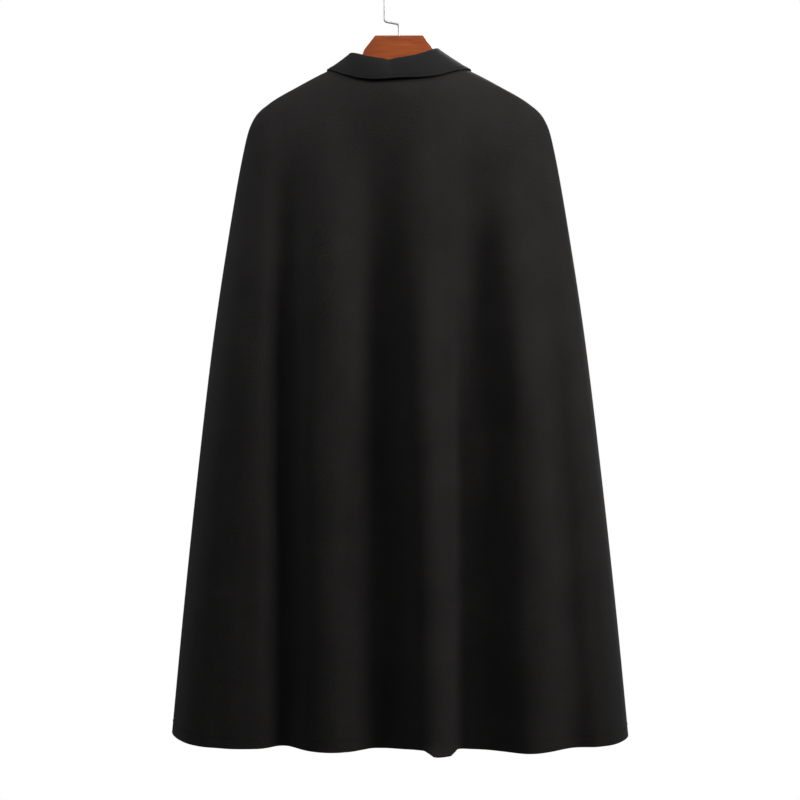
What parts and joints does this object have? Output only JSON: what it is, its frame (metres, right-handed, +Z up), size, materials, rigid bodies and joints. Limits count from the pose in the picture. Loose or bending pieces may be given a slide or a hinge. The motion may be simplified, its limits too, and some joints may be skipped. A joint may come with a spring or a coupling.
{
  "type": "fleece cape on a wooden hanger",
  "caption": "Long black cape with a turn-down collar and a neck button, falling in soft folds from rounded shoulders, on a flat wooden hanger with a wire hook.",
  "frame": {"origin": "underside of the hanger hook's highest point, where it rests on a rail", "axes": "+Z up; the cape's front faces -Y and its back +Y; +X is the wearer's left"},
  "size_m": [0.683, 0.2525, 1.1364],
  "materials": {
    "cape_cloth": "matt, short brushed nap",
    "button": "semi-gloss",
    "hanger_wood": "clear varnish over a red-brown stain",
    "hook_wire": "bright plated"
  },
  "bodies": {
    "root": {"back": "cape_cloth", "front_left": "cape_cloth", "front_right": "cape_cloth", "collar": "cape_cloth", "neck_button": "button", "hanger_wood": "hanger_wood", "hanger_hook": "hook_wire"}
  },
  "joints": []
}
